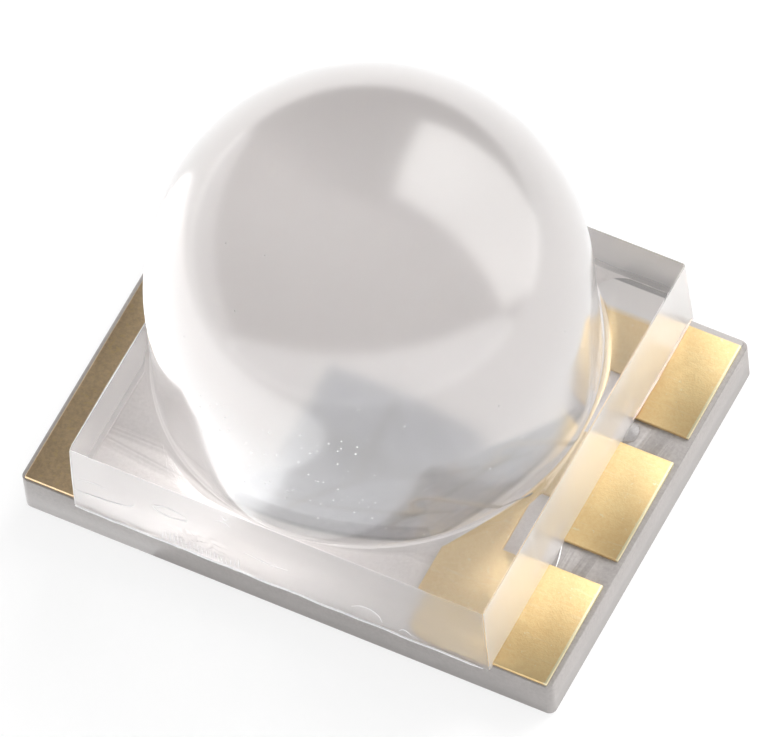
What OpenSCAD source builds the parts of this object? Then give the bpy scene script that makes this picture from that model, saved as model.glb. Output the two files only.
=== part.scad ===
// Surface mount infrared LED: one emitter die on a plated ceramic plate, under a moulded silicone lens.
// The origin is the centre of the solder pads' underside, where the board's surface lies. +Z is up.
// The three-finger pad lies on the right, towards +X, and the plain strip pad on the left.

/* [Ceramic plate] */
// Length of the ceramic, from the strip pad's side to the finger pad's side
ceramic_length = 4.6; // [4.2:0.1:6]
// Width of the ceramic, from its front to its back
ceramic_width = 3.45; // [3.45:0.05:4.2]
// Thickness of the ceramic
ceramic_thickness = 0.38; // [0.25:0.01:0.64]
// Radius of the ceramic's upright corners
ceramic_corner = 0.06; // [0.02:0.01:0.15]

/* [Top metal] */
// Thickness of the gold plated copper on the ceramic's top
top_metal = 0.035; // [0.02:0.005:0.07]
// Bare ceramic outside the metal at the left and right edges
end_margin = 0.04; // [0.02:0.01:0.1]
// Bare ceramic outside the metal at the front and back edges
side_margin = 0.015; // [0.005:0.005:0.05]
// How far the finger pad reaches in from its outer edge
finger_pad_reach = 1.2; // [1:0.05:1.3]
// Radius of the finger pad's inner corners
finger_pad_corner = 0.26; // [0.05:0.01:0.4]
// Width of the bare notches between the fingers
notch_width = 0.245; // [0.15:0.005:0.35]
// Length of the notches, from the pad's outer edge to the far side of their cross slots
notch_length = 0.765; // [0.6:0.005:0.85]
// Width of the cross slot that ends each notch, where silicone grips the bare ceramic
cross_slot_width = 0.125; // [0.05:0.005:0.2]
// Length of the cross slot, from front to back
cross_slot_length = 0.585; // [0.4:0.005:0.7]
// How far the strip pad is tucked in under the silicone
strip_tuck = 0.04; // [0.02:0.01:0.1]
// Width of the neck from the strip pad to the die's pad
neck_width = 0.5; // [0.2:0.05:0.9]
// Metal showing around the die on its own pad
die_pad_border = 0.12; // [0.05:0.01:0.2]

/* [Solder pads and filled vias] */
// Thickness of the solder pads on the underside
solder_metal = 0.035; // [0.02:0.005:0.07]
// Bare ceramic around the solder pads
solder_margin = 0.15; // [0.05:0.05:0.3]
// Length of the two outer solder pads, along the ceramic's length
outer_pad_length = 0.75; // [0.6:0.05:0.9]
// Bare gap between neighbouring solder pads
solder_gap = 0.3; // [0.2:0.05:0.5]
// Diameter of the copper filled vias
via_diameter = 0.2; // [0.1:0.01:0.25]

/* [Emitter die] */
// Side of the square die
die_side = 1.07; // [0.8:0.01:1.2]
// Height of the die, with its mesa
die_height = 0.15; // [0.1:0.01:0.25]
// Height of the raised mesa on the die
mesa_height = 0.02; // [0.01:0.005:0.04]
// Width of the sawn ledge around the mesa
mesa_ledge = 0.025; // [0.01:0.005:0.05]
// Thickness of the solder that holds the die
attach_height = 0.02; // [0.01:0.005:0.04]
// How far that solder shows around the die
attach_border = 0.03; // [0.01:0.005:0.05]
// Thickness of the contact metal on the die
contact_height = 0.006; // [0.004:0.001:0.01]
// Width of the contact's thin current spreading bars
contact_bar = 0.015; // [0.01:0.005:0.04]
// Diameter of the two round bond pads on the die
bond_pad_diameter = 0.13; // [0.12:0.01:0.2]
// Distance between the centres of those bond pads, from front to back
bond_pad_spacing = 0.56; // [0.4:0.02:0.64]

/* [Bond wires] */
// Diameter of the gold bond wire
wire_diameter = 0.03; // [0.025:0.001:0.05]
// Diameter of the ball that starts each wire
ball_diameter = 0.09; // [0.08:0.005:0.11]
// Height of the pressed ball
ball_height = 0.03; // [0.02:0.005:0.04]
// Straight rise of the wire above the ball, before its bend
wire_rise = 0.08; // [0.04:0.01:0.15]
// Radius of the bend at the top of the loop, to the wire's middle
loop_radius = 0.09; // [0.05:0.01:0.15]
// Radius of the bend where the wire comes down on the finger pad
landing_radius = 0.16; // [0.08:0.01:0.25]
// How far inside the finger pad's inner edge the wire's stitch lies
stitch_inset = 0.16; // [0.12:0.01:0.25]

/* [Silicone lens] */
// Length of the silicone slab at its foot, between its two moulded walls
slab_length = 3.6; // [3.55:0.05:3.8]
// How far the cut front and back faces stand proud of the ceramic at their foot
cut_overhang = 0.04; // [0:0.01:0.08]
// Height of the slab above the ceramic
slab_height = 0.78; // [0.6:0.01:1]
// Draft of the slab's moulded walls, in degrees
wall_draft = 1.2; // [0:0.1:2]
// Draft of the slab's cut faces, in degrees
cut_draft = 1.8; // [0:0.1:2]
// Radius of the lens's round top
lens_radius = 1.73; // [1.5:0.01:1.73]
// Height of the lens's upright side, from the slab to where the round top starts
lens_side = 0.97; // [0.6:0.01:1.3]
// Draft of the upright side, in degrees
lens_draft = 0.3; // [0:0.1:0.3]
// Radius of the small round fillet at the foot of the lens
foot_fillet = 0.03; // [0.02:0.005:0.06]

/* [Hidden] */

// Smoothness of small rounds, and of the lens
small_steps = 48;
lens_steps = 128;

// A little more than nothing, for tools that cut right through a face
through = 1;

// Levels, from the board up
ceramic_bottom = solder_metal;
ceramic_top = ceramic_bottom + ceramic_thickness;
metal_top = ceramic_top + top_metal;
die_bottom = metal_top + attach_height;
die_top = die_bottom + die_height;
contact_top = die_top + contact_height;
slab_top = ceramic_top + slab_height;

// The finger pad's fingers share the ceramic's width
finger_count = 3;
metal_width = ceramic_width - 2 * side_margin;
finger_width = (metal_width - (finger_count - 1) * notch_width) / finger_count;
finger_pitch = finger_width + notch_width;
finger_outer = ceramic_length / 2 - end_margin;
finger_inner = finger_outer - finger_pad_reach;
cross_slot_inner = finger_outer - notch_length;

// The strip pad ends just inside the silicone, and a neck joins it to the die's pad
strip_outer = ceramic_length / 2 - end_margin;
strip_inner = slab_length / 2 - strip_tuck;
die_pad_side = die_side + 2 * die_pad_border;

// Solder pads, and the vias in the middle of the metal that they have above and below them
solder_width = ceramic_width - 2 * solder_margin;
solder_outer = ceramic_length / 2 - solder_margin;
solder_inner = solder_outer - outer_pad_length;
thermal_length = 2 * (solder_inner - solder_gap);
via_place = (solder_outer + strip_inner) / 2;

// The wires land on one line, just inside the finger pad's inner edge
bond_pad_place = die_side / 4;
landing_place = finger_inner + stitch_inset;
stitch_length = 2.2 * wire_diameter;
stitch_height = 0.5 * wire_diameter;

// The straight run of a wire against its bends: how slim it is, and how far it seats in them
slim = 0.98;
run_seat = 0.1 * wire_diameter;

// The slab from its foot to its top, and the foot of the lens that stands on it
slab_width = ceramic_width + 2 * cut_overhang;
slab_top_length = slab_length - 2 * slab_height * tan(wall_draft);
slab_top_width = slab_width - 2 * slab_height * tan(cut_draft);
lens_foot_radius = lens_radius + lens_side * tan(lens_draft);

// Places of the fingers' middle lines, and of the notches between them
function finger_places() = [for (i = [0 : finger_count - 1]) (i - (finger_count - 1) / 2) * finger_pitch];
function notch_places() = [for (i = [0 : finger_count - 2]) (i - (finger_count - 2) / 2) * finger_pitch];

// Downward slope of the straight run that touches both bends of a bond wire, in degrees.
// run and drop lie between the bends' centres, which are on opposite sides of the wire.
function wire_slope(run, drop, radii) = atan2(drop, run) + asin(radii / norm([run, drop]));

// A flat plate, given by its lowest corner and its size
module plate(x, y, z, length, width, height) {
    translate([x, y, z])
        cube([length, width, height]);
}

// The outline of a plate with four round corners, centred
module round_outline(length, width, radius) {
    square([length - 2 * radius, width], center = true);
    square([length, width - 2 * radius], center = true);
    for (x = [-1, 1], y = [-1, 1])
        translate([x * (length / 2 - radius), y * (width / 2 - radius)])
            circle(radius, $fn = small_steps);
}

module ceramic_plate() {
    color([0.80, 0.79, 0.78])
        difference() {
            translate([0, 0, ceramic_bottom])
                linear_extrude(ceramic_thickness)
                    round_outline(ceramic_length, ceramic_width, ceramic_corner);
            via_columns(-1, ceramic_bottom - through, ceramic_top + through);
            via_columns(1, ceramic_bottom - through, ceramic_top + through);
        }
}

// A row of round columns through the ceramic, one to each finger, on the side that is given
module via_columns(side, bottom, top) {
    for (y = finger_places())
        translate([side * via_place, y, bottom])
            cylinder(h = top - bottom, d = via_diameter, $fn = small_steps);
}

module strip_vias() {
    color([0.75, 0.48, 0.32])
        via_columns(-1, ceramic_bottom, ceramic_top);
}

module finger_vias() {
    color([0.75, 0.48, 0.32])
        via_columns(1, ceramic_bottom, ceramic_top);
}

// The strip, its neck and the die's square pad are one piece of metal
module strip_pad() {
    color([0.66, 0.50, 0.26])
        translate([0, 0, ceramic_top])
            linear_extrude(top_metal) {
                translate([-strip_outer, -metal_width / 2])
                    square([strip_outer - strip_inner, metal_width]);
                translate([-strip_outer, -neck_width / 2])
                    square([strip_outer, neck_width]);
                square(die_pad_side, center = true);
            }
}

// The finger pad's body, with its two inner corners rounded
module finger_pad_body() {
    straight_width = metal_width - 2 * finger_pad_corner;
    translate([finger_inner, -straight_width / 2])
        square([finger_pad_reach, straight_width]);
    translate([finger_inner + finger_pad_corner, -metal_width / 2])
        square([finger_pad_reach - finger_pad_corner, metal_width]);
    for (y = [-1, 1])
        translate([finger_inner + finger_pad_corner, y * straight_width / 2])
            circle(finger_pad_corner, $fn = small_steps);
}

// One notch: open at the pad's outer edge, and ended by a cross slot under the silicone
module finger_notch() {
    translate([cross_slot_inner, -notch_width / 2])
        square([notch_length + through, notch_width]);
    translate([cross_slot_inner, -cross_slot_length / 2])
        square([cross_slot_width, cross_slot_length]);
}

module finger_pad() {
    color([0.85, 0.68, 0.38])
        translate([0, 0, ceramic_top])
            linear_extrude(top_metal)
                difference() {
                    finger_pad_body();
                    for (y = notch_places())
                        translate([0, y])
                            finger_notch();
                }
}

module strip_solder_pad() {
    color([0.85, 0.68, 0.38])
        plate(-solder_outer, -solder_width / 2, 0, outer_pad_length, solder_width, solder_metal);
}

module thermal_solder_pad() {
    color([0.85, 0.68, 0.38])
        plate(-thermal_length / 2, -solder_width / 2, 0, thermal_length, solder_width, solder_metal);
}

module finger_solder_pad() {
    color([0.85, 0.68, 0.38])
        plate(solder_inner, -solder_width / 2, 0, outer_pad_length, solder_width, solder_metal);
}

module die_solder() {
    attach_side = die_side + 2 * attach_border;
    color([0.62, 0.62, 0.60])
        plate(-attach_side / 2, -attach_side / 2, metal_top, attach_side, attach_side, attach_height);
}

module infrared_die() {
    mesa_side = die_side - 2 * mesa_ledge;
    color([0.30, 0.30, 0.33]) {
        plate(-die_side / 2, -die_side / 2, die_bottom, die_side, die_side, die_height - mesa_height);
        plate(-mesa_side / 2, -mesa_side / 2, die_top - mesa_height, mesa_side, mesa_side, mesa_height);
    }
}

// Two round bond pads, and the thin bars that spread the current from them over the mesa
module die_contact() {
    spread = die_side - 2 * mesa_ledge - 2 * contact_bar;
    color([0.88, 0.72, 0.42])
        translate([0, 0, die_top])
            linear_extrude(contact_height) {
                for (y = [-1, 1]) {
                    translate([bond_pad_place, y * bond_pad_spacing / 2])
                        circle(d = bond_pad_diameter, $fn = small_steps);
                    translate([-spread / 2, y * bond_pad_spacing / 2 - contact_bar / 2])
                        square([spread, contact_bar]);
                }
                for (x = [-bond_pad_place, bond_pad_place])
                    translate([x - contact_bar / 2, -spread / 2])
                        square([contact_bar, spread]);
            }
}

// A bend of round wire in the XZ plane, about a centre, over the stretch of angles that is given
module wire_bend(centre_x, centre_z, radius, first_angle, last_angle) {
    translate([centre_x, 0, centre_z])
        rotate([90, 0, 0])
            rotate([0, 0, first_angle])
                rotate_extrude(angle = last_angle - first_angle, $fn = small_steps)
                    translate([radius, 0])
                        circle(d = wire_diameter, $fn = small_steps);
}

// A straight run of wire in the XZ plane, which heads down by an angle from level.
// It is a hair slimmer than the bends and seats a little way into both.
module wire_run(x, z, down_angle, length) {
    translate([x, 0, z])
        rotate([0, 90 + down_angle, 0])
            translate([0, 0, -run_seat])
                cylinder(h = length + 2 * run_seat, d = slim * wire_diameter, $fn = small_steps);
}

// The ball that is pressed on the die's bond pad: a sphere with its poles flattened
module wire_ball() {
    intersection() {
        translate([0, 0, ball_height / 2])
            sphere(d = ball_diameter, $fn = small_steps);
        cylinder(h = ball_height, d = 2 * ball_diameter, $fn = small_steps);
    }
}

// A bond wire from its ball, at the origin, to a stitch that lies run to the right and drop below
module bond_wire(run, drop) {
    rise_top = ball_height + wire_rise;
    wire_level = stitch_height - drop;
    between = [run - loop_radius, rise_top - wire_level - landing_radius];
    slope = wire_slope(between.x, between.y, loop_radius + landing_radius);
    loop_end = [loop_radius * (1 + sin(slope)), rise_top + loop_radius * cos(slope)];
    landing_start = [run - landing_radius * sin(slope), wire_level + landing_radius * (1 - cos(slope))];
    wire_ball();
    wire_run(0, ball_height, -90, wire_rise);
    wire_bend(loop_radius, rise_top, loop_radius, 90 - slope, 180);
    wire_run(loop_end.x, loop_end.y, slope, norm(landing_start - loop_end));
    wire_bend(run, wire_level + landing_radius, landing_radius, 270 - slope, 270);
    translate([run, 0, -drop])
        wire_stitch();
}

// The stitch: the wire's end pressed flat on the pad, with a round tip
module wire_stitch() {
    linear_extrude(2 * stitch_height) {
        translate([0, -wire_diameter / 2])
            square([stitch_length, wire_diameter]);
        translate([stitch_length, 0])
            circle(d = wire_diameter, $fn = small_steps);
    }
}

// A wire in its place, from the bond pad on the side that is given
module placed_wire(side) {
    color([0.90, 0.74, 0.40])
        translate([bond_pad_place, side * bond_pad_spacing / 2, contact_top])
            bond_wire(landing_place - bond_pad_place, contact_top - metal_top);
}

module front_bond_wire() {
    placed_wire(-1);
}

module back_bond_wire() {
    placed_wire(1);
}

// A prism along Y whose section narrows evenly from its foot to its top
module drafted_prism(foot, top, height, depth) {
    rotate([90, 0, 0])
        linear_extrude(depth, center = true)
            polygon([[-foot / 2, 0], [foot / 2, 0], [top / 2, height], [-top / 2, height]]);
}

// The slab: two walls from the mould, and two faces cut from the neighbouring parts
module lens_slab() {
    translate([0, 0, ceramic_top])
        intersection() {
            drafted_prism(slab_length, slab_top_length, slab_height, slab_width + through);
            rotate([0, 0, 90])
                drafted_prism(slab_width, slab_top_width, slab_height, slab_length + through);
        }
}

// Half the section of the fillet around the foot of the lens
module fillet_section() {
    difference() {
        translate([lens_foot_radius - foot_fillet, -foot_fillet])
            square([2 * foot_fillet, 2 * foot_fillet]);
        translate([lens_foot_radius + foot_fillet, foot_fillet])
            circle(foot_fillet, $fn = small_steps);
    }
}

// The fillet runs out where the lens comes close to a face of the slab
module lens_fillet() {
    intersection() {
        rotate_extrude($fn = lens_steps)
            fillet_section();
        linear_extrude(2 * foot_fillet, center = true)
            square([slab_top_length, slab_top_width], center = true);
    }
}

// The lens: a round top on an upright side, which stands nearly as wide as the slab
module lens_dome() {
    translate([0, 0, slab_top]) {
        cylinder(h = lens_side, r1 = lens_foot_radius, r2 = lens_radius, $fn = lens_steps);
        lens_fillet();
        translate([0, 0, lens_side])
            intersection() {
                sphere(lens_radius, $fn = lens_steps);
                cylinder(h = lens_radius + through, r = lens_radius + through, $fn = lens_steps);
            }
    }
}

// The silicone is moulded in one piece around the metal, the die and the wires
module silicone_lens() {
    color([0.93, 0.92, 0.94, 0.35])
        difference() {
            union() {
                lens_slab();
                lens_dome();
            }
            strip_pad();
            finger_pad();
            die_solder();
            infrared_die();
            die_contact();
            front_bond_wire();
            back_bond_wire();
        }
}

ceramic_plate();
strip_pad();
finger_pad();
strip_vias();
finger_vias();
strip_solder_pad();
thermal_solder_pad();
finger_solder_pad();
die_solder();
infrared_die();
die_contact();
front_bond_wire();
back_bond_wire();
silicone_lens();
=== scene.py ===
# Surface mount infrared LED: a clear silicone lens over a gold plated ceramic plate.
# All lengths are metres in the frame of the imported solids; mm turns millimetres into them.
import math
import bmesh
import bpy
from mathutils import Matrix, Vector, noise


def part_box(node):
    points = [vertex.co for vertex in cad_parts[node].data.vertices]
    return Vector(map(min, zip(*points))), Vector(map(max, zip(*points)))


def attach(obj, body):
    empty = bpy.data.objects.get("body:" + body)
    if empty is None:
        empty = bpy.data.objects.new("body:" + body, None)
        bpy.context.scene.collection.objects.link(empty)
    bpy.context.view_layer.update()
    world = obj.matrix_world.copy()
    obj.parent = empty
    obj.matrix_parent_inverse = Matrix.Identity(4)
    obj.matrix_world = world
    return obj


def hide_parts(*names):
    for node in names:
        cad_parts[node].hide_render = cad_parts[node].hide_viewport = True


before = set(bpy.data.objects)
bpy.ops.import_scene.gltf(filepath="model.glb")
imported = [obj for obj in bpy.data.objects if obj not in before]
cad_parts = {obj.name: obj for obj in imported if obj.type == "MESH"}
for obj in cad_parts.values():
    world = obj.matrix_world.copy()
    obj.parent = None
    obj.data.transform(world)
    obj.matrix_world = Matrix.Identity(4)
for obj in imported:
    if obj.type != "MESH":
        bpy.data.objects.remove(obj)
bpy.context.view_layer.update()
mm = 0.001
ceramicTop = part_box("ceramic_plate")[1].z
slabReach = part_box("silicone_lens")[1]    # its x and y: how far the slab's foot reaches right and back
solderPads = ("strip_solder_pad", "thermal_solder_pad", "finger_solder_pad")
scene = bpy.context.scene
scene.view_settings.view_transform = "Standard"
print("frame loaded:", len(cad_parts), "nodes")

# camera: the photograph's own view, fitted to the corners of the ceramic
cameraSet = {
    "azimuth": 33.2,              # degrees round the object, from its front towards its right
    "elevation": 57.51,
    "roll": -7.33,
    "distance": 115.0 * mm,       # from the middle of the ceramic's underside
    "pixelsPerMm": 592.89 / 4.6,  # at that middle
    "imageWidth": 782,
    "imageHeight": 737,
    "middleAcross": 388.42,       # where that middle lies in the picture, in pixels
    "middleDown": 437.00,
}


def makeCamera(s):
    az, el, roll = (math.radians(s[key]) for key in ("azimuth", "elevation", "roll"))
    back = Vector((math.sin(az) * math.cos(el), -math.cos(az) * math.cos(el), math.sin(el)))
    levelRight = Vector((math.cos(az), math.sin(az), 0))
    levelUp = back.cross(levelRight)
    right = math.cos(roll) * levelRight + math.sin(roll) * levelUp
    up = -math.sin(roll) * levelRight + math.cos(roll) * levelUp
    target = Vector((0, 0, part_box("ceramic_plate")[0].z))
    data = bpy.data.cameras.new("camera")
    data.sensor_width = 36
    focalPixels = s["pixelsPerMm"] / mm * s["distance"]
    data.lens = data.sensor_width * focalPixels / s["imageWidth"]
    data.shift_x = (s["imageWidth"] / 2 - s["middleAcross"]) / s["imageWidth"]
    data.shift_y = (s["middleDown"] - s["imageHeight"] / 2) / s["imageWidth"]
    data.clip_start = s["distance"] / 20
    data.clip_end = s["distance"] * 20
    camera = bpy.data.objects.new("camera", data)
    spin = Matrix((right, up, back)).transposed()
    camera.matrix_world = Matrix.Translation(target + back * s["distance"]) @ spin.to_4x4()
    scene.collection.objects.link(camera)
    scene.camera = camera


makeCamera(cameraSet)
print("camera set")


# small helpers for numbers
def spread(first, last, count):
    return [first + (last - first) * i / (count - 1) for i in range(count)]


def turnsRound(count):
    return [2 * math.pi * i / count for i in range(count)]


# small helpers for objects
def link(obj):
    scene.collection.objects.link(obj)
    return obj


def meshObject(name, bm):
    mesh = bpy.data.meshes.new(name)
    bm.to_mesh(mesh)
    bm.free()
    return link(bpy.data.objects.new(name, mesh))


def evaluatedMesh(obj):
    bpy.context.view_layer.update()
    graph = bpy.context.evaluated_depsgraph_get()
    mesh = bpy.data.meshes.new_from_object(obj.evaluated_get(graph))
    mesh.name = obj.name
    return mesh


def joinLoops(bm, outer, inner):
    # triangles between two loops of different counts, both anticlockwise
    def turnOf(v):
        return math.atan2(v.co.y, v.co.x) % (2 * math.pi)
    outer = sorted(outer, key=turnOf)
    inner = sorted(inner, key=turnOf)
    outTurn = [turnOf(v) for v in outer] + [turnOf(outer[0]) + 2 * math.pi]
    inTurn = [turnOf(v) for v in inner] + [turnOf(inner[0]) + 2 * math.pi]
    n, m = len(outer), len(inner)
    i = j = 0
    while i < n or j < m:
        a, b = outer[i % n], inner[j % m]
        if j >= m or (i < n and outTurn[i + 1] <= inTurn[j + 1]):
            bm.faces.new((a, outer[(i + 1) % n], b))
            i += 1
        else:
            bm.faces.new((a, inner[(j + 1) % m], b))
            j += 1


# small helpers for materials
def newMaterial(name):
    material = bpy.data.materials.new(name)
    material.use_nodes = True
    tree = material.node_tree
    tree.nodes.clear()
    return material, tree, tree.nodes.new("ShaderNodeOutputMaterial")


def addNode(tree, kind, values=None, **settings):
    made = tree.nodes.new(kind)
    for key, value in settings.items():
        setattr(made, key, value)
    for key, value in (values or {}).items():
        if isinstance(value, bpy.types.NodeSocket):
            tree.links.new(value, made.inputs[key])
        else:
            made.inputs[key].default_value = value
    return made


def placeInMm(tree, stretch=(1, 1, 1)):
    place = addNode(tree, "ShaderNodeTexCoord").outputs["Object"]
    scale = Vector(stretch) / mm
    return addNode(tree, "ShaderNodeVectorMath", {0: place, 1: scale}, operation="MULTIPLY").outputs[0]


def noiseOf(tree, place, scale, detail=3.0, roughness=0.55):
    values = {"Vector": place, "Scale": scale, "Detail": detail, "Roughness": roughness}
    return addNode(tree, "ShaderNodeTexNoise", values).outputs["Fac"]


def remap(tree, value, low, high, newLow=0.0, newHigh=1.0):
    values = {"Value": value, "From Min": low, "From Max": high, "To Min": newLow, "To Max": newHigh}
    return addNode(tree, "ShaderNodeMapRange", values).outputs["Result"]


def combine(tree, operation, a, b):
    return addNode(tree, "ShaderNodeMath", {0: a, 1: b}, operation=operation).outputs[0]


def blendColours(tree, factor, first, second):
    made = addNode(tree, "ShaderNodeMix", data_type="RGBA")
    for socket, value in (("Factor_Float", factor), ("A_Color", first), ("B_Color", second)):
        target = next(i for i in made.inputs if i.identifier == socket)
        if isinstance(value, bpy.types.NodeSocket):
            tree.links.new(value, target)
        else:
            target.default_value = (*value, 1)
    return next(o for o in made.outputs if o.identifier == "Result_Color")


def bumpOf(tree, height, distance, strength):
    values = {"Height": height, "Distance": distance, "Strength": strength}
    return addNode(tree, "ShaderNodeBump", values).outputs["Normal"]


def principled(tree, out, values):
    shader = addNode(tree, "ShaderNodeBsdfPrincipled", values)
    tree.links.new(shader.outputs[0], out.inputs[0])


# studio: a dim surround, a softbox behind on the right, a low sweep of light in front and a panel on the left
surroundSet = {
    "fill": 0.55,           # what lights the object from all round
    "horizon": 0.06,        # what its skin and metal mirror just above the horizon
    "zenith": 0.45,         # and straight up
    "horizonLow": -0.06,    # sine of the elevation below which glass and metal see the white ground
    "horizonHigh": -0.03,
}


def makeSurround(s):
    world = bpy.data.worlds.new("studio")
    scene.world = world
    world.use_nodes = True
    tree = world.node_tree
    tree.nodes.clear()
    out = addNode(tree, "ShaderNodeOutputWorld")
    fill = addNode(tree, "ShaderNodeBackground", {"Color": (s["fill"],) * 3 + (1,)})
    way = addNode(tree, "ShaderNodeTexCoord").outputs["Generated"]
    height = addNode(tree, "ShaderNodeSeparateXYZ", {0: way}).outputs["Z"]
    climb = remap(tree, height, 0, 1, s["horizon"], s["zenith"])
    dim = addNode(tree, "ShaderNodeBackground", {"Strength": climb})
    white = addNode(tree, "ShaderNodeBackground", {"Color": (1, 1, 1, 1)})
    path = addNode(tree, "ShaderNodeLightPath").outputs
    mirrored = combine(tree, "SUBTRACT", path["Is Glossy Ray"], path["Is Transmission Ray"])
    above = addNode(tree, "ShaderNodeMixShader", {0: mirrored, 1: fill.outputs[0], 2: dim.outputs[0]})
    low = remap(tree, height, s["horizonHigh"], s["horizonLow"])
    clear = combine(tree, "MAXIMUM", path["Is Glossy Ray"], path["Is Transmission Ray"])
    ground = combine(tree, "MULTIPLY", clear, low)
    seen = combine(tree, "MAXIMUM", path["Is Camera Ray"], ground)
    mixed = addNode(tree, "ShaderNodeMixShader", {0: seen, 1: above.outputs[0], 2: white.outputs[0]})
    tree.links.new(mixed.outputs[0], out.inputs[0])


makeSurround(surroundSet)

# each lamp: azimuth from +X anticlockwise, elevation and roll in degrees, the rest in millimetres
# slide moves it across and up in its own plane, and seenBy says which rays meet it
lampSet = {
    "softboxBehind": {
        "azimuth": 57, "elevation": 45, "distance": 150, "slide": (-35, -80), "size": (275, 165), "roll": 40,
        "shape": "RECTANGLE", "radiance": 1.9, "colour": (1, 0.99, 0.975), "seenBy": "all"},
    "softboxCore": {
        "azimuth": 72, "elevation": 42, "distance": 150, "slide": (0, 0), "size": (90, 90), "roll": 0,
        "shape": "RECTANGLE", "radiance": 7, "colour": (1, 0.99, 0.975), "seenBy": "matt"},
    "sweepFront": {
        "azimuth": -60, "elevation": 0, "distance": 150, "slide": (0, 0), "size": (900, 140), "roll": 0,
        "shape": "ELLIPSE", "radiance": 1.35, "colour": (0.985, 0.99, 1), "seenBy": "all"},
    "panelLeft": {
        "azimuth": 190, "elevation": 0, "distance": 150, "slide": (0, 0), "size": (270, 75), "roll": 0,
        "shape": "ELLIPSE", "radiance": 0.85, "colour": (0.98, 0.985, 1), "seenBy": "all"},
    "tableShine": {
        "azimuth": -140, "elevation": -90, "distance": -0.02, "slide": (0, 14), "size": (24, 24), "roll": 0,
        "shape": "ELLIPSE", "radiance": 1.3, "colour": (0.985, 0.99, 1), "seenBy": "gloss"},
}


def areaLamp(name, s):
    az, el, roll = (math.radians(s[key]) for key in ("azimuth", "elevation", "roll"))
    way = Vector((math.cos(az) * math.cos(el), math.sin(az) * math.cos(el), math.sin(el)))
    across = Vector((-math.sin(az), math.cos(az), 0))
    up = way.cross(across)
    data = bpy.data.lights.new(name, "AREA")
    data.shape = s["shape"]
    data.size, data.size_y = (side * mm for side in s["size"])
    area = data.size * data.size_y * (math.pi / 4 if s["shape"] == "ELLIPSE" else 1)
    data.energy = s["radiance"] * math.pi * area
    data.color = s["colour"]
    lamp = link(bpy.data.objects.new(name, data))
    right = math.cos(roll) * across + math.sin(roll) * up
    top = -math.sin(roll) * across + math.cos(roll) * up
    place = mm * (s["distance"] * way + s["slide"][0] * across + s["slide"][1] * up)
    lamp.visible_camera = False
    lamp.visible_glossy = s["seenBy"] != "matt"
    lamp.visible_diffuse = lamp.visible_transmission = s["seenBy"] != "gloss"
    lamp.matrix_world = Matrix.Translation(place) @ Matrix((right, top, way)).transposed().to_4x4()


for lampName, lampLook in lampSet.items():
    areaLamp(lampName, lampLook)
print("studio lit with", len(lampSet), "lamps")

# floor: a white disc, which keeps the object's shadow
# it is open under the solder pads, so that they show from below
floorSet = {
    "radius": 38 * mm,
    "padMargin": 0.02 * mm,
    "points": 96,
    "lit": 0.80,        # its colour as a surface
    "grain": 0.01,      # and how far that colour swings
    "seenLit": 0.22,    # the lit share of what is seen of it
    "glow": 0.80,       # the even share of what is seen of it
}


def makeFloor(s):
    bm = bmesh.new()
    reach = s["radius"]
    rim = [bm.verts.new((reach * math.cos(t), reach * math.sin(t), 0)) for t in turnsRound(s["points"])]
    boxes = [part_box(pad) for pad in solderPads]
    left, front = (min(low[i] for low, high in boxes) - s["padMargin"] for i in (0, 1))
    right, back = (max(high[i] for low, high in boxes) + s["padMargin"] for i in (0, 1))
    hole = [bm.verts.new((x, y, 0)) for x, y in ((left, front), (right, front), (right, back), (left, back))]
    joinLoops(bm, rim, hole)
    floor = meshObject("floor", bm)
    material, tree, out = newMaterial("whiteTable")
    grain = noiseOf(tree, placeInMm(tree), 0.8)
    plain = addNode(tree, "ShaderNodeBsdfDiffuse")
    shade = blendColours(tree, grain, (s["lit"] - s["grain"],) * 3, (s["lit"] + s["grain"],) * 3)
    tree.links.new(shade, plain.inputs["Color"])
    shadowed = addNode(tree, "ShaderNodeBsdfDiffuse", {"Color": (s["seenLit"],) * 3 + (1,)})
    glow = addNode(tree, "ShaderNodeEmission", {"Color": (1, 1, 1, 1), "Strength": s["glow"]})
    white = addNode(tree, "ShaderNodeAddShader", {0: shadowed.outputs[0], 1: glow.outputs[0]})
    path = addNode(tree, "ShaderNodeLightPath").outputs
    clear = combine(tree, "MAXIMUM", path["Is Glossy Ray"], path["Is Transmission Ray"])
    seen = combine(tree, "MAXIMUM", path["Is Camera Ray"], clear)
    mixed = addNode(tree, "ShaderNodeMixShader", {0: seen, 1: plain.outputs[0], 2: white.outputs[0]})
    tree.links.new(mixed.outputs[0], out.inputs[0])
    floor.data.materials.append(material)


makeFloor(floorSet)
print("floor laid")

# silicone: the slab and the lens are one closed skin
siliconeSet = {
    "lensRadius": 1.73 * mm,
    "lensSide": 0.97 * mm,
    "lensDraft": 0.3,             # degrees
    "footFillet": 0.07 * mm,
    "filletShare": 0.6,           # the most of the room beside the lens that the fillet takes
    "slabHeight": 0.78 * mm,
    "wallDraft": 1.2,             # degrees, of the two moulded walls
    "cutDraft": 1.8,              # of the two cut faces
    "sink": 0.003 * mm,           # the underside lies this far inside the ceramic
    "cornerRound": 0.02 * mm,
    "edgeHeight": 0.010 * mm,     # round of the slab's top edge: its height
    "wallEdge": 0.012 * mm,       # its reach in from the moulded walls
    "cutEdge": 0.003 * mm,        # its reach in from the cut faces
    "support": 0.002 * mm,        # flat strip beside a round, which keeps flat faces flat
    "sidePoints": (260, 120, 160, 120),   # front, right, back, left
    "cornerPoints": 6,
    "wallRings": 40,
    "edgeRings": 6,
    "lensPoints": 256,
    "filletRings": 5,
    "sideRings": 20,
    "topRings": 96,
}


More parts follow.
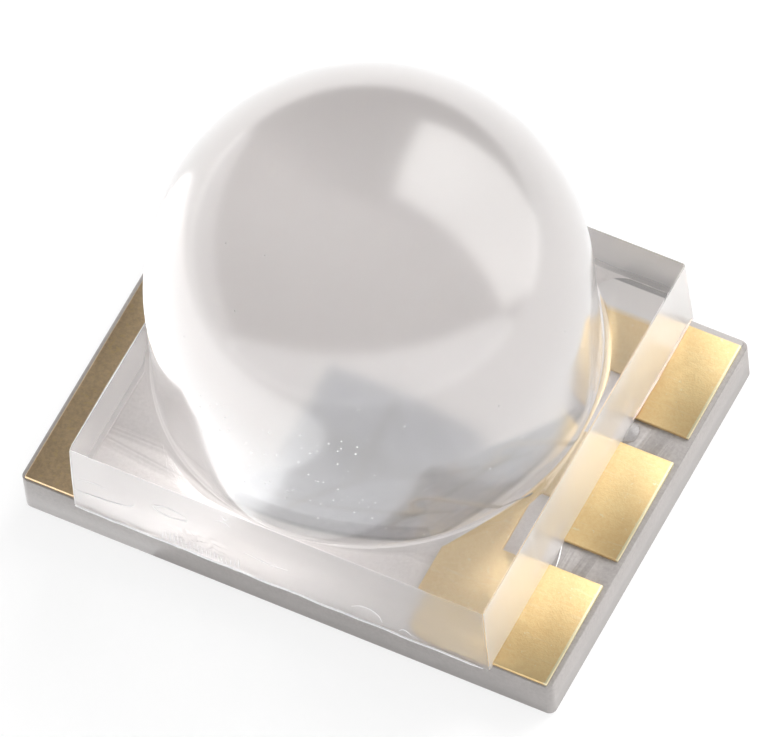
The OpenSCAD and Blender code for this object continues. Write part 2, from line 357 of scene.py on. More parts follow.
def slabLoop(a, b, corner, s):
    # points round a rectangle with round corners, from the front left corner, anticlockwise
    points = []
    starts = [(-a + corner, -b), (a, -b + corner), (a - corner, b), (-a, b - corner)]
    ends = [(a - corner, -b), (a, b - corner), (-a + corner, b), (-a, -b + corner)]
    middles = [(a - corner, -b + corner), (a - corner, b - corner),
               (-a + corner, b - corner), (-a + corner, -b + corner)]
    for side, count in enumerate(s["sidePoints"]):
        start, end, middle = Vector(starts[side]), Vector(ends[side]), Vector(middles[side])
        points += [start.lerp(end, i / (count - 1)) for i in range(count)]
        for i in range(1, s["cornerPoints"]):
            turn = math.radians(90) * (side - 1 + i / s["cornerPoints"])
            points.append(middle + corner * Vector((math.cos(turn), math.sin(turn))))
    return points


def bridgeRings(bm, low, high):
    count = len(low)
    for i in range(count):
        j = (i + 1) % count
        bm.faces.new((low[i], low[j], high[j], high[i]))


def capRing(bm, ring, z, up):
    middle = bm.verts.new((0, 0, z))
    count = len(ring)
    for i in range(count):
        j = (i + 1) % count
        bm.faces.new((ring[i], ring[j], middle) if up else (ring[j], ring[i], middle))


def siliconeBody(s):
    height = s["slabHeight"]
    slabTop = ceramicTop + height
    topA = slabReach.x - height * math.tan(math.radians(s["wallDraft"]))
    topB = slabReach.y - height * math.tan(math.radians(s["cutDraft"]))
    bm = bmesh.new()

    def slabRing(z, insetA=0.0, insetB=0.0):
        t = (z - ceramicTop) / height
        a = slabReach.x + (topA - slabReach.x) * t - insetA
        b = slabReach.y + (topB - slabReach.y) * t - insetB
        return [bm.verts.new((*point, z)) for point in slabLoop(a, b, s["cornerRound"], s)]

    # walls, and the round of the slab's top edge
    edge = s["edgeHeight"]
    rings = [slabRing(ceramicTop - s["sink"])]
    rings += [slabRing(ceramicTop + height * i / s["wallRings"]) for i in range(s["wallRings"])]
    rings.append(slabRing(slabTop - edge - s["support"]))
    for i in range(s["edgeRings"] + 1):
        turn = math.radians(90) * i / s["edgeRings"]
        inset = 1 - math.cos(turn)
        z = slabTop - edge + edge * math.sin(turn)
        rings.append(slabRing(z, s["wallEdge"] * inset, s["cutEdge"] * inset))
    flatA, flatB = topA - s["wallEdge"] - s["support"] / 4, topB - s["cutEdge"] - s["support"] / 4
    rings.append(slabRing(slabTop, topA - flatA, topB - flatB))
    for low, up in zip(rings, rings[1:]):
        bridgeRings(bm, low, up)
    capRing(bm, rings[0], ceramicTop - s["sink"], False)
    slabEdge = rings[-1]

    # lens: its foot fillet narrows where it comes close to a face of the slab
    foot = s["lensRadius"] + s["lensSide"] * math.tan(math.radians(s["lensDraft"]))
    turns = turnsRound(s["lensPoints"])
    tiny = 1e-6    # keeps the divisions below from a zero

    def roomBeside(turn):
        # from the lens's foot out to the nearer face of the slab
        across = flatA / max(abs(math.cos(turn)), tiny)
        along = flatB / max(abs(math.sin(turn)), tiny)
        return min(across, along) - foot

    rooms = [roomBeside(turn) for turn in turns]
    fillets = [min(s["footFillet"], s["filletShare"] * room) for room in rooms]

    def lensRing(radii, heights):
        return [bm.verts.new((r * math.cos(t), r * math.sin(t), z)) for t, r, z in zip(turns, radii, heights)]

    def evenRing(radius, z):
        return lensRing([radius] * len(turns), [z] * len(turns))

    flatRadii = [foot + f + min(s["support"], 0.25 * room) for f, room in zip(fillets, rooms)]
    rings = [lensRing(flatRadii, [slabTop] * len(turns))]
    for i in range(s["filletRings"] + 1):
        turn = math.radians(90) * i / s["filletRings"]
        radii = [foot + f * (1 - math.sin(turn)) for f in fillets]
        rings.append(lensRing(radii, [slabTop + f * (1 - math.cos(turn)) for f in fillets]))
    start = max(fillets) * 1.1    # the first ring of the side lies just above the widest fillet
    for i in range(1, s["sideRings"] + 1):
        t = i / s["sideRings"]
        z = start + (s["lensSide"] - start) * t if i > 1 else start
        rings.append(evenRing(foot + (s["lensRadius"] - foot) * z / s["lensSide"], slabTop + z))
    roundStart = slabTop + s["lensSide"]
    for i in range(1, s["topRings"]):
        turn = math.radians(90) * i / s["topRings"]
        rise = s["lensRadius"] * math.sin(turn)
        rings.append(evenRing(s["lensRadius"] * math.cos(turn), roundStart + rise))
    for low, up in zip(rings, rings[1:]):
        bridgeRings(bm, low, up)
    capRing(bm, rings[-1], roundStart + s["lensRadius"], True)
    joinLoops(bm, slabEdge, rings[0])
    bm.normal_update()
    return bm


# marks of the saw on the cut faces: ripples, a ragged foot and a torn patch
cutSet = {
    "nearFace": 0.001 * mm,       # a point this near to a cut face lies on it
    "plainStrip": 0.04 * mm,      # beside each corner, without marks
    "fade": 0.1 * mm,             # the marks grow to their full depth over this width
    "ripple": 0.004 * mm,
    "ripplesPerMm": (5 / 3, 5),   # across and up, as in the other rows that end in PerMm
    "footLip": 0.014 * mm,        # how far the ragged foot stands out
    "footHeight": 0.05 * mm,
    "lipWavesPerMm": (3.1, 0),
    "lipGrainPerMm": (14, 5),
    "tear": 0.035 * mm,           # on the front face alone
    "tearMiddle": (-0.72 * mm, 0.16 * mm),  # across, and above the ceramic
    "tearReach": (0.32 * mm, 0.17 * mm),
    "tearWavesPerMm": (13, 26),
    "tearGrainPerMm": (29, 47),
    "seed": 4.0,
}


def wavesAt(place, perMm, seed):
    return noise.noise(Vector((place[0] * perMm[0], place[1] * perMm[1], seed)))


def roughenCuts(bm, s):
    seed = s["seed"]
    top = siliconeSet["slabHeight"] - 2 * siliconeSet["edgeHeight"]
    slope = math.tan(math.radians(siliconeSet["cutDraft"]))
    for v in bm.verts:
        above = v.co.z - ceramicTop
        face = slabReach.y - above * slope
        room = slabReach.x - s["plainStrip"] - abs(v.co.x)
        if above > top or room < 0 or abs(abs(v.co.y) - face) > s["nearFace"]:
            continue
        place = v.co.x / mm, above / mm
        side = 1 if v.co.y > 0 else -1
        push = s["ripple"] * wavesAt(place, s["ripplesPerMm"], seed + side)
        lip = max(0, 1 - above / s["footHeight"])
        ragged = 0.5 + 0.9 * wavesAt(place, s["lipWavesPerMm"], seed + 2 * side)
        ragged += 0.35 * wavesAt(place, s["lipGrainPerMm"], seed)
        push += s["footLip"] * lip * ragged
        if side < 0:
            a = (v.co.x - s["tearMiddle"][0]) / s["tearReach"][0]
            b = (above - s["tearMiddle"][1]) / s["tearReach"][1]
            patch = max(0, 1 - a * a - b * b)
            rough = wavesAt(place, s["tearWavesPerMm"], seed + 5)
            rough += 0.5 * wavesAt(place, s["tearGrainPerMm"], seed + 7)
            push += s["tear"] * patch * rough
        fade = min(1, (top - above) / s["fade"], room / s["fade"])
        v.co.y += side * fade * push


# a clear moulded skin, milky cut faces and walls, and the primer that the foot stands on
siliconeLook = {
    "tint": (0.945, 0.94, 0.945),
    "ior": 1.41,
    "slabRoughness": 0.04,
    "domeRoughness": 0.15,
    "dustRoughness": 0.1,        # what a grain of dust adds to either
    "clear": 0.93,               # and the rest is faintly milky
    "coatIor": 2.0,              # lifts what the skin mirrors
    "coatRoughness": 0.20,
    "cutTint": (0.70, 0.69, 0.69),
    "backTint": (0.76, 0.75, 0.745),
    "cutRoughness": (0.28, 0.38),
    "cutClear": (0.92, 0.70),    # the clear share of the front cut face, and the rest is milky
    "backClear": 0.80,           # how much of that share the back cut face keeps
    "cutCoatIor": 1.4,           # of the cut faces and the moulded walls
    "cutCoatRoughness": 0.12,
    "wallTints": ((0.98, 0.955, 0.94), (1, 0.99, 0.98)),
    "wallRoughness": (0.29, 0.37),
    "wallClear": 0.60,
    "wallCoatRoughness": 0.15,
    "footLight": (0.96, 0.92, 0.90),
    "footDark": (0.88, 0.84, 0.82),
    "footRoughness": 0.5,
}


def moulded(look):
    # the slab's top and the lens, with a faint orange peel and a little dust
    material, tree, out = newMaterial("clearSilicone")
    place = placeInMm(tree)
    orange = noiseOf(tree, place, 2.2, detail=2)
    dust = remap(tree, noiseOf(tree, place, 38, detail=2), 0.66, 0.74)
    skin = bumpOf(tree, orange, 0.002 * mm, 0.35)
    slabTop = (ceramicTop + siliconeSet["slabHeight"]) / mm
    above = addNode(tree, "ShaderNodeSeparateXYZ", {0: place}).outputs["Z"]
    rough = remap(tree, above, slabTop, slabTop + 0.1, look["slabRoughness"], look["domeRoughness"])
    principled(tree, out, {
        "Base Color": (*look["tint"], 1),
        "Transmission Weight": look["clear"],
        "IOR": look["ior"],
        "Roughness": combine(tree, "ADD", rough, combine(tree, "MULTIPLY", dust, look["dustRoughness"])),
        "Coat Weight": 1.0,
        "Coat IOR": look["coatIor"],
        "Coat Roughness": look["coatRoughness"],
        "Normal": skin,
    })
    return material


def sawn(look):
    # the two cut faces: fine level strokes of the saw, and a back face that is paler than the front one
    material, tree, out = newMaterial("sawnSilicone")
    strokes = noiseOf(tree, placeInMm(tree, (1.0, 1.0, 7.0)), 9, detail=4)
    place = placeInMm(tree)
    cloud = noiseOf(tree, place, 1.6, detail=4)
    rough = remap(tree, cloud, 0.3, 0.75, *look["cutRoughness"])
    depth = addNode(tree, "ShaderNodeSeparateXYZ", {0: place}).outputs["Y"]
    backShare = remap(tree, depth, -0.5, 0.5, 1.0, look["backClear"])
    tint = blendColours(tree, remap(tree, depth, -0.5, 0.5), look["cutTint"], look["backTint"])
    clear = combine(tree, "MULTIPLY", remap(tree, cloud, 0.3, 0.75, *look["cutClear"]), backShare)
    principled(tree, out, {
        "Base Color": tint,
        "Transmission Weight": clear,
        "IOR": look["ior"],
        "Roughness": rough,
        "Coat Weight": 1.0,
        "Coat IOR": look["cutCoatIor"],
        "Coat Roughness": look["cutCoatRoughness"],
        "Normal": bumpOf(tree, strokes, 0.004 * mm, 0.6),
    })
    return material


def drawnWall(look):
    # the two moulded walls, faintly milky, with the streaks of the mould's draw
    material, tree, out = newMaterial("drawnSilicone")
    streaks = noiseOf(tree, placeInMm(tree, (1, 15, 1.2)), 1.0, detail=3)
    principled(tree, out, {
        "Base Color": blendColours(tree, remap(tree, streaks, 0.35, 0.65), *look["wallTints"]),
        "Transmission Weight": look["wallClear"],
        "IOR": look["ior"],
        "Roughness": remap(tree, streaks, 0.35, 0.65, *look["wallRoughness"]),
        "Coat Weight": 1.0,
        "Coat IOR": look["cutCoatIor"],
        "Coat Roughness": look["wallCoatRoughness"],
    })
    return material


def primedFoot(look):
    # the underside, over the primer that holds it to the plate
    material, tree, out = newMaterial("primedSilicone")
    cloud = noiseOf(tree, placeInMm(tree), 3)
    principled(tree, out, {
        "Base Color": blendColours(tree, remap(tree, cloud, 0.35, 0.65), look["footDark"], look["footLight"]),
        "Roughness": look["footRoughness"],
    })
    return material


def makeLens():
    bm = siliconeBody(siliconeSet)
    edgeStart = ceramicTop + siliconeSet["slabHeight"] - siliconeSet["edgeHeight"]
    # 0 is moulded, 1 the cut faces, 2 the moulded walls and 3 the underside, in the order of the finishes
    for face in bm.faces:
        below = face.calc_center_median().z < edgeStart
        if below and abs(face.normal.y) > 0.9:
            face.material_index = 1
        elif below and abs(face.normal.x) > 0.9:
            face.material_index = 2
        elif below and face.normal.z < -0.9:
            face.material_index = 3
    roughenCuts(bm, cutSet)
    lens = meshObject("siliconeLens", bm)
    lens.data.shade_smooth()
    for finish in (moulded, sawn, drawnWall, primedFoot):
        lens.data.materials.append(finish(siliconeLook))
    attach(lens, "root")
    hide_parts("silicone_lens")
    return lens


lens = makeLens()
print("silicone made:", len(lens.data.vertices), "points")


softSet = {
    "weld": 0.0005 * mm,
    "flatAngle": 1,      # degrees, up to which two faces become one
    "edgeAngle": 40,     # degrees, from which an edge is rounded
}


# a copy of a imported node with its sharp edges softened
def softened(nodeName, pieceName, look):
    bm = bmesh.new()
    bm.from_mesh(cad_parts[nodeName].data)
    bmesh.ops.remove_doubles(bm, verts=bm.verts, dist=softSet["weld"])
    flat = math.radians(softSet["flatAngle"])
    bmesh.ops.dissolve_limit(bm, angle_limit=flat, verts=bm.verts, edges=bm.edges)
    piece = meshObject(pieceName, bm)
    piece.data.materials.clear()
    bevel = piece.modifiers.new("soft edges", "BEVEL")
    bevel.width = look["edge"]
    bevel.segments = look["segments"]
    bevel.limit_method = "ANGLE"
    bevel.angle_limit = math.radians(softSet["edgeAngle"])
    bevel.harden_normals = True
    mesh = evaluatedMesh(piece)
    piece.modifiers.clear()
    piece.data = mesh
    mesh.shade_smooth()
    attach(piece, "root")
    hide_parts(nodeName)
    return piece


# 1 where a top face lies under the silicone, and 0 elsewhere
def underSilicone(tree):
    split = addNode(tree, "ShaderNodeSeparateXYZ", {0: placeInMm(tree)}).outputs
    wall, top = slabReach.x / mm, ceramicTop / mm
    inside = remap(tree, combine(tree, "ABSOLUTE", split["X"], 0.0), wall + 0.01, wall - 0.03)
    return combine(tree, "MULTIPLY", inside, remap(tree, split["Z"], top - 0.010, top - 0.002))


# plated gold
goldSet = {
    "edge": 0.007 * mm,
    "segments": 3,
    "bright": (1.0, 0.79, 0.43),
    "deep": (0.91, 0.65, 0.32),
    "roughness": (0.40, 0.54),
    "scuff": (0.98, 0.86, 0.62),
}
# a pale primer hides the metal under the silicone at the back
fingerSet = dict(goldSet, **{
    "primer": (0.93, 0.89, 0.87),
    "primedX": (1.80, 1.785),        # from bare to primed, in mm
    "primedY": (1.38, 1.44),
    "bare": (0.36, 0.34, 0.33),      # narrow margin at the back that the plating misses
    "bareY": (1.655, 1.665),
    "rim": (1.0, 0.90, 0.62),        # painted highlight: a pale line along the outer edge, where light catches it
    "rimWidth": 0.02,
})
# the strip: its gold is darker, partly tarnish and partly painted shade where the lens keeps the softbox's
# light off it; under the silicone a pale cover, slightly darker than the fingers' primer, lies over the neck
# and the die's pad, and it is painted light, for the light that the lens gathers on them
stripShadeAndGlowSet = dict(goldSet, **{
    "bright": (1.0, 0.78, 0.50),
    "deep": (0.68, 0.50, 0.31),
    "roughness": (0.42, 0.56),
    "scuff": (0.86, 0.66, 0.36),
    "primer": (0.86, 0.82, 0.80),
    "primedX": (-1.812, -1.80),
    "primedY": (-9, -8),             # both in front of the whole part, so that nothing stays bare along Y
})


def plated(name, look, speckle):
    # fine grain of the plating, soft stains, scuffs along one way, and bright specks: more with a low speckle
    material, tree, out = newMaterial(name)
    place = placeInMm(tree)
    stains = remap(tree, noiseOf(tree, place, 1.7, detail=4), 0.35, 0.68, 0, 0.55)
    mottle = remap(tree, noiseOf(tree, place, 32, detail=4, roughness=0.7), 0.36, 0.64, 0, 0.45)
    grain = noiseOf(tree, place, 70, detail=3)
    scuffs = remap(tree, noiseOf(tree, placeInMm(tree, (3, 34, 1)), 1.0, detail=4), 0.60, 0.74)
    specks = remap(tree, noiseOf(tree, place, 26, detail=2), speckle, speckle + 0.06)
    colour = blendColours(tree, combine(tree, "ADD", stains, mottle), look["deep"], look["bright"])
    scuffed = combine(tree, "MULTIPLY", scuffs, 0.35)
    marked = combine(tree, "MAXIMUM", scuffed, combine(tree, "MULTIPLY", specks, 0.8))
    colour = blendColours(tree, marked, colour, look["scuff"])
    split = addNode(tree, "ShaderNodeSeparateXYZ", {0: place}).outputs
    metallic = 1.0
    # painted highlight: the outer edge of the fingers is painted pale, for the light that it catches
    if "rim" in look:
        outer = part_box("finger_pad")[1].x / mm - look["rimWidth"]
        rim = remap(tree, split["X"], outer, outer + 0.004)
        colour = blendColours(tree, rim, colour, look["rim"])
    # a pale cover under the silicone: a primer on the fingers, and painted light on the strip
    if "primer" in look:
        coverAcross = remap(tree, split["X"], *look["primedX"])
        coverAlong = remap(tree, split["Y"], *look["primedY"])
        primed = combine(tree, "MINIMUM", coverAcross, coverAlong)
        colour = blendColours(tree, primed, colour, look["primer"])
        metallic = combine(tree, "SUBTRACT", 1.0, primed)
    if "bare" in look:
        bare = remap(tree, split["Y"], *look["bareY"])
        colour = blendColours(tree, bare, colour, look["bare"])
        metallic = combine(tree, "MINIMUM", metallic, combine(tree, "SUBTRACT", 1.0, bare))
    rough = remap(tree, grain, 0.3, 0.7, *look["roughness"])
    height = combine(tree, "ADD", grain, combine(tree, "MULTIPLY", mottle, 2.0))
    principled(tree, out, {
        "Base Color": colour,
        "Metallic": metallic,
        "Roughness": rough,
        "Normal": bumpOf(tree, height, 0.0012 * mm, 0.5),
    })
    return material


fingers = softened("finger_pad", "fingerPad", fingerSet)
fingers.data.materials.append(plated("fingerGold", fingerSet, 0.68))
strip = softened("strip_pad", "stripPad", stripShadeAndGlowSet)
strip.data.materials.append(plated("stripGoldShadeAndGlow", stripShadeAndGlowSet, 0.60))
for nodeName in solderPads:
    pad = softened(nodeName, nodeName.replace("_", "-"), goldSet)
    pad.data.materials.append(plated("solderPadGold", goldSet, 0.70))
print("metal softened")

# ceramic
ceramicSet = {
    "edge": 0.006 * mm,
    "segments": 2,
    "light": (0.40, 0.375, 0.365),
    "dark": (0.325, 0.305, 0.295),
    "paintedGlowLight": (0.92, 0.87, 0.85),   # painted light: under the silicone, far paler than the bare ceramic, for the light that the lens gathers on the plate
    "paintedGlowDark": (0.82, 0.77, 0.75),
    "roughness": (0.36, 0.50),
}


def sintered(look):
    # pale and dark grains, with soft clouds, and pores between the grains
    material, tree, out = newMaterial("sinteredCeramic")
    place = placeInMm(tree)
    grains = noiseOf(tree, place, 34, detail=4, roughness=0.65)
    clouds = noiseOf(tree, place, 2.3, detail=3)
    pores = addNode(tree, "ShaderNodeTexVoronoi", {"Vector": place, "Scale": 45}).outputs["Distance"]
    grainShare = combine(tree, "MULTIPLY", grains, 0.75)
    mixed = combine(tree, "ADD", grainShare, combine(tree, "MULTIPLY", clouds, 0.25))
    grain = remap(tree, mixed, 0.36, 0.64)
    bare = blendColours(tree, grain, look["dark"], look["light"])
    # painted light: under the silicone the grains take far paler colours, for the light that the lens gathers
    # there
    paintedGlow = blendColours(tree, grain, look["paintedGlowDark"], look["paintedGlowLight"])
    colour = blendColours(tree, underSilicone(tree), bare, paintedGlow)
    height = combine(tree, "ADD", grains, combine(tree, "MULTIPLY", pores, 0.5))
    principled(tree, out, {
        "Base Color": colour,
        "Roughness": remap(tree, grains, 0.3, 0.7, *look["roughness"]),
        "Normal": bumpOf(tree, height, 0.001 * mm, 0.5),
    })
    return material


plate = softened("ceramic_plate", "ceramicPlate", ceramicSet)
plate.data.materials.append(sintered(ceramicSet))
print("ceramic softened")


# the small pieces keep their packed form
def dress(nodeName, material):
    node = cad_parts[nodeName]
    node.data.materials.clear()
    node.data.materials.append(material)


# two tones each, and the scale of the grain between them, per mm
smallSet = {
    "die": {"first": (0.36, 0.36, 0.38), "second": (0.50, 0.50, 0.53), "scale": 26, "metallic": 0.0,
            "roughness": 0.35, "bump": 0.003 * mm},
    "solder": {"first": (0.42, 0.42, 0.42), "second": (0.56, 0.56, 0.55), "scale": 18, "metallic": 1.0,
               "roughness": 0.42, "bump": 0.004 * mm},
    "contact": {"first": (0.30, 0.29, 0.28), "second": (0.40, 0.38, 0.36), "scale": 40, "metallic": 0.6,
                "roughness": 0.5, "bump": 0.001 * mm},
    "wire": {"first": (0.50, 0.46, 0.42), "second": (0.60, 0.55, 0.49), "scale": 60, "metallic": 0.5,
             "roughness": 0.6, "bump": 0.0006 * mm},
    "copper": {"first": (0.60, 0.32, 0.20), "second": (0.76, 0.46, 0.30), "scale": 30, "metallic": 1.0,
               "roughness": 0.35, "bump": 0.002 * mm},
}


def grainy(name, look):
    material, tree, out = newMaterial(name)
    grain = noiseOf(tree, placeInMm(tree), look["scale"], detail=4)
    principled(tree, out, {
        "Base Color": blendColours(tree, remap(tree, grain, 0.36, 0.64), look["first"], look["second"]),
        "Metallic": look["metallic"],
        "Roughness": look["roughness"],
        "Normal": bumpOf(tree, grain, look["bump"], 0.6),
    })
    return material


dress("infrared_die", grainy("dieCrystal", smallSet["die"]))
dress("die_solder", grainy("dieSolder", smallSet["solder"]))
dress("die_contact", grainy("contactMetal", smallSet["contact"]))
wireGold = grainy("drawnGold", smallSet["wire"])
viaCopper = grainy("viaCopper", smallSet["copper"])
for nodeName in ("front_bond_wire", "back_bond_wire"):
    dress(nodeName, wireGold)
for nodeName in ("strip_vias", "finger_vias"):
    dress(nodeName, viaCopper)
print("die, wires and vias dressed")

# specks of dust and tiny pits that sit on the lens, most of them low on its front left, where they are
# painted highlights: white specks for the glints of light on the skin
speckSet = {
    # each field: first and last azimuth in degrees, lowest and highest over the slab in mm,
    # and how many lie on 1 mm2
    "fields": {
        # painted highlights: white specks that stand in for glints of light
        "lowFrontGlintSpecks": (-112, -62, 0.42, 1.45, 55),
        "farSpecks": (-180, 175, 0.10, 2.50, 2),
    },
    "smallest": 0.003,   # mm, radius
    "largest": 0.011,
    "flatness": 0.4,     # height of a speck over its width
    "seed": 11,
    "columns": 48,       # of the patch of skin that the specks are scattered on
    "rows": 16,
}


def scatterTree():
    # points on the faces, a flat ball on each of them, made real and given its material
    tree = bpy.data.node_groups.new("scatterSpecks", "GeometryNodeTree")
    tree.interface.new_socket("Geometry", in_out="INPUT", socket_type="NodeSocketGeometry")
    kinds = {"Density": "Float", "Smallest": "Float", "Largest": "Float",
             "Flatness": "Float", "Seed": "Int", "Finish": "Material"}
    for label, kind in kinds.items():
        tree.interface.new_socket(label, in_out="INPUT", socket_type="NodeSocket" + kind)
    tree.interface.new_socket("Geometry", in_out="OUTPUT", socket_type="NodeSocketGeometry")
    given = addNode(tree, "NodeGroupInput").outputs
    points = addNode(tree, "GeometryNodeDistributePointsOnFaces", {
        "Mesh": given["Geometry"], "Density": given["Density"], "Seed": given["Seed"]})
    ball = addNode(tree, "GeometryNodeMeshIcoSphere", {"Radius": 1.0, "Subdivisions": 1})
    size = addNode(tree, "FunctionNodeRandomValue", {
        2: given["Smallest"], 3: given["Largest"], "Seed": given["Seed"]})
    thin = combine(tree, "MULTIPLY", size.outputs[1], given["Flatness"])
    scale = addNode(tree, "ShaderNodeCombineXYZ", {"X": size.outputs[1], "Y": size.outputs[1], "Z": thin})
    placed = addNode(tree, "GeometryNodeInstanceOnPoints", {
        "Points": points.outputs["Points"], "Instance": ball.outputs["Mesh"],
        "Rotation": points.outputs["Rotation"], "Scale": scale.outputs[0]})
    real = addNode(tree, "GeometryNodeRealizeInstances", {"Geometry": placed.outputs[0]})
    finished = addNode(tree, "GeometryNodeSetMaterial", {
        "Geometry": real.outputs[0], "Material": given["Finish"]})
    out = addNode(tree, "NodeGroupOutput")
    tree.links.new(finished.outputs[0], out.inputs[0])
    return tree


def lensPoint(azimuth, above):
    # a point on the lens's skin, from its azimuth and its height over the slab
    side, radius = siliconeSet["lensSide"], siliconeSet["lensRadius"]
    reach = radius if above < side else math.sqrt(max(radius ** 2 - (above - side) ** 2, 0))
    turn = math.radians(azimuth)
    z = ceramicTop + siliconeSet["slabHeight"] + above
    return Vector((reach * math.cos(turn), reach * math.sin(turn), z))


def lensPatch(name, firstTurn, lastTurn, lowest, highest, s):
    bm = bmesh.new()
    azimuths = spread(firstTurn, lastTurn, s["columns"] + 1)
    grid = [[bm.verts.new(lensPoint(azimuth, mm * above)) for azimuth in azimuths]
            for above in spread(lowest, highest, s["rows"] + 1)]
    for low, up in zip(grid, grid[1:]):
        for j in range(s["columns"]):
            bm.faces.new((low[j], low[j + 1], up[j + 1], up[j]))
    return meshObject(name, bm)


def runNodes(piece, tree, values):
    modifier = piece.modifiers.new(tree.name, "NODES")
    modifier.node_group = tree
    for item in tree.interface.items_tree:
        if item.in_out == "INPUT" and item.name in values:
            modifier[item.identifier] = values[item.name]
    mesh = evaluatedMesh(piece)
    piece.modifiers.clear()
    piece.data = mesh


# dust, painted highlights and what else is left on the silicone: two tones, and the clear share
dustAndGlintSet = {
    # pale dust, and painted highlights too: the white specks and the white thread that stand in for glints of
    # light
    "paleDustAndGlint": {"first": (0.93, 0.93, 0.95), "second": (1.0, 1.0, 1.0), "clear": 0.0},
    "warmFlash": {"first": (0.93, 0.74, 0.62), "second": (1.0, 0.88, 0.80), "clear": 0.35},
    "clearDrop": {"first": (0.93, 0.92, 0.93), "second": (0.98, 0.97, 0.98), "clear": 0.85},
}


def makeDustAndGlint(name):
    look = dustAndGlintSet[name]
    material, tree, out = newMaterial(name)
    tone = noiseOf(tree, placeInMm(tree), 9)
    principled(tree, out, {
        "Base Color": blendColours(tree, remap(tree, tone, 0.35, 0.65), look["first"], look["second"]),
        "Roughness": 0.25,
        "IOR": siliconeLook["ior"],
        "Transmission Weight": look["clear"],
    })
    return material


dustAndGlintFinish = {name: makeDustAndGlint(name) for name in dustAndGlintSet}


def scatterSpecks(s):
    tree = scatterTree()
    for name, (firstTurn, lastTurn, lowest, highest, density) in s["fields"].items():
        piece = lensPatch(name, firstTurn, lastTurn, lowest, highest, s)
        runNodes(piece, tree, {
            "Density": density / mm ** 2, "Smallest": s["smallest"] * mm, "Largest": s["largest"] * mm,
            "Flatness": s["flatness"], "Seed": s["seed"], "Finish": dustAndGlintFinish["paleDustAndGlint"]})
        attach(piece, "root")
        print("specks on", name, len(piece.data.polygons), "faces")


scatterSpecks(speckSet)

# threads and a drop of silicone that the mould and the saw left, and one white thread that is a painted
# highlight, in mm
threadSet = {
    "radius": 0.0065,
    "endShare": 0.4,       # of the radius, at a thread's two ends
    "roundness": 2,        # resolution of its section
    "stepsPerSpan": 6,     # and along it, between two points
    "seed": 0.0065,        # third coordinate of the noise
    # on the front cut face: points across it and above the ceramic
    "onFrontFace": {
        "tearLine": ((-1.74, 0.40), (-1.60, 0.43), (-1.48, 0.42)),
        "tearHook": ((-1.78, 0.23), (-1.60, 0.245), (-1.42, 0.27), (-1.27, 0.32), (-1.24, 0.37)),
        "cornerLine": ((-1.79, 0.02), (-1.785, 0.40), (-1.778, 0.765)),
        "shortStroke": ((-0.47, 0.70), (-0.44, 0.66), (-0.41, 0.69)),
        "shortStrokeLow": ((-0.52, 0.60), (-0.46, 0.62), (-0.40, 0.58)),
        "curl": ((0.62, 0.14), (0.72, 0.20), (0.84, 0.17), (0.88, 0.08)),
        "fleck": ((1.02, 0.05), (1.07, 0.10), (1.13, 0.06)),
        "crease": ((-0.30, 0.30), (-0.10, 0.27), (0.08, 0.29)),
    },
    # beside the slab and along its top edge: points of x, y and height over the ceramic
    "besideSlab": {
        "gapThread": ((1.80, -0.53, 0.01), (1.83, -0.64, 0.012), (1.85, -0.745, 0.006)),
        # painted highlight: a white thread along the left wall's top edge, for the light that the edge
        # catches
        "leftEdgeHighlight": ((-1.783, -1.70, 0.778), (-1.783, -1.10, 0.78), (-1.783, -0.40, 0.778)),
    },
    # in the next rows, run is first, last and how many, and a pair is a mean and how far it wanders
    "footLine": {"run": (-1.785, 1.75, 34), "above": (0.018, 0.016), "out": 0.012, "thick": 1.4},
    # short upright strokes of the torn patch
    "strokes": {"run": (-1.02, -0.36, 20), "above": (0.04, 0.03), "tall": (0.11, 0.12), "lean": 0.03,
                "out": 0.006, "thick": 0.9},
    # thin flash along the right wall's foot
    "flash": {"run": (0.70, 1.72, 16), "above": (0.04, 0.012), "out": 0.006, "radius": 0.013},
    # a thin raised ring round a shallow blister; its run is in degrees, and the ring stays a little open
    "ring": {"run": (20, 365, 13), "middle": (-0.93, 0.44), "reach": (0.15, 0.055), "uneven": 0.3,
             "thick": 0.8},
    "drop": {"middle": (1.80, 0.61, 0.004), "reach": (0.09, 0.10, 0.035), "swell": 0.16, "perMm": 1.7},
    "finishes": {"wallFlash": "warmFlash", "gapDrop": "clearDrop"},
}


def frontFace(across, above, out=0.0):
    lean = above * mm * math.tan(math.radians(siliconeSet["cutDraft"]))
    return Vector((across * mm, lean - slabReach.y - out * mm, ceramicTop + above * mm))


def overCeramic(x, y, z):
    return Vector((x * mm, y * mm, ceramicTop + z * mm))


def thread(name, points, radius):
    curve = bpy.data.curves.new(name, "CURVE")
    curve.dimensions = "3D"
    curve.resolution_u = threadSet["stepsPerSpan"]
    curve.bevel_depth = radius
    curve.bevel_resolution = threadSet["roundness"]
    curve.use_fill_caps = True
    spline = curve.splines.new("BEZIER")
    spline.bezier_points.add(len(points) - 1)
    for knot, point in zip(spline.bezier_points, points):
        knot.co = point
        knot.handle_left_type = knot.handle_right_type = "AUTO"
    spline.bezier_points[0].radius = spline.bezier_points[-1].radius = threadSet["endShare"]
    helper = link(bpy.data.objects.new(name + "Curve", curve))
    piece = link(bpy.data.objects.new(name, evaluatedMesh(helper)))
    bpy.data.objects.remove(helper)
    return piece


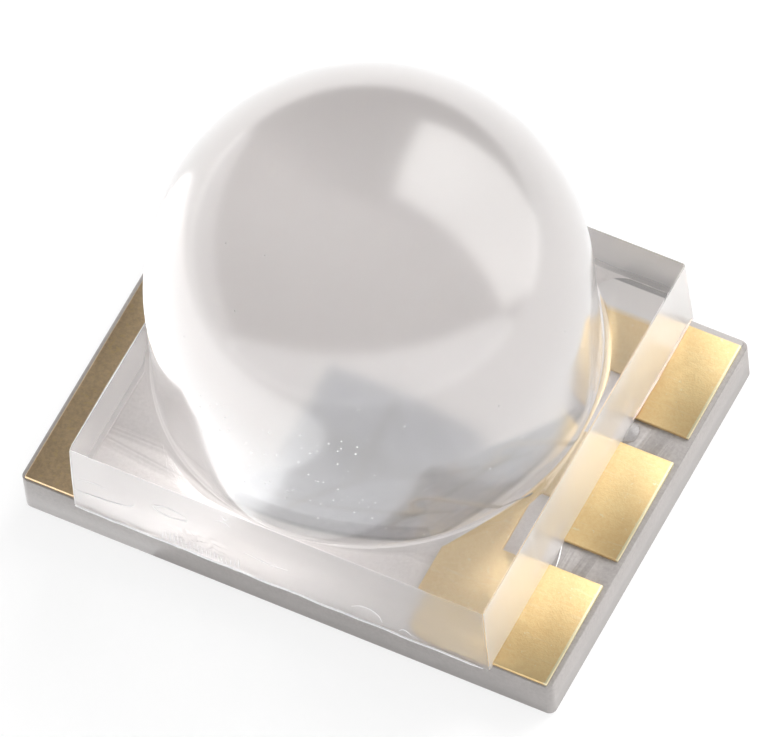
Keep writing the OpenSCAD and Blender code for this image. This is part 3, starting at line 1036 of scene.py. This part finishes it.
def drop(name, s):
    # a ball, uneven by soft noise and flattened
    bm = bmesh.new()
    bmesh.ops.create_icosphere(bm, subdivisions=4, radius=1)
    middle = overCeramic(*s["middle"])
    for v in bm.verts:
        swell = 1 + s["swell"] * noise.noise(v.co * s["perMm"] + middle / mm)
        v.co = middle + swell * Vector(c * r * mm for c, r in zip(v.co, s["reach"]))
    return meshObject(name, bm)


def wander(place, row=0.0):
    return noise.noise(Vector((place, row, threadSet["seed"])))


def unevenly(pair, place, row=0.0):
    return pair[0] + pair[1] * wander(place, row)


def footThread(s, radius):
    points = [frontFace(x, unevenly(s["above"], 4 * x), s["out"]) for x in spread(*s["run"])]
    return thread("footLine", points, s["thick"] * radius)


def tornStrokes(s, radius):
    made = []
    for i, x in enumerate(spread(*s["run"])):
        low, tall = unevenly(s["above"], 7 * x, 1), unevenly(s["tall"], 5 * x, 2)
        lean = s["lean"] * wander(9 * x, 3)
        points = [frontFace(x + lean * t, low + tall * t, s["out"]) for t in (0, 0.5, 1)]
        made.append(thread("stroke" + str(i), points, s["thick"] * radius))
    return made


def wallFlash(s):
    wall = slabReach.x / mm
    points = [overCeramic(wall + s["out"] * wander(5 * y, 4), y, unevenly(s["above"], 6 * y, 5))
              for y in spread(*s["run"])]
    return thread("wallFlash", points, s["radius"] * mm)


def blisterRing(s, radius):
    (across, above), (wide, tall) = s["middle"], s["reach"]
    points = []
    for turn in (math.radians(degrees) for degrees in spread(*s["run"])):
        rise = tall * math.sin(turn) * (1 + s["uneven"] * wander(2 * turn))
        points.append(frontFace(across + wide * math.cos(turn), above + rise))
    return thread("blisterRing", points, s["thick"] * radius)


def leftoversAndHighlight(s):
    radius = s["radius"] * mm
    made = [thread(name, [frontFace(*point) for point in points], radius)
            for name, points in s["onFrontFace"].items()]
    made += [footThread(s["footLine"], radius), *tornStrokes(s["strokes"], radius), wallFlash(s["flash"])]
    made += [thread(name, [overCeramic(*point) for point in points], radius)
             for name, points in s["besideSlab"].items()]
    made += [drop("gapDrop", s["drop"]), blisterRing(s["ring"], radius)]
    for piece in made:
        piece.data.shade_smooth()
        piece.data.materials.clear()
        piece.data.materials.append(dustAndGlintFinish[s["finishes"].get(piece.name, "paleDustAndGlint")])
        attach(piece, "root")


leftoversAndHighlight(threadSet)
print("threads and the drop made")
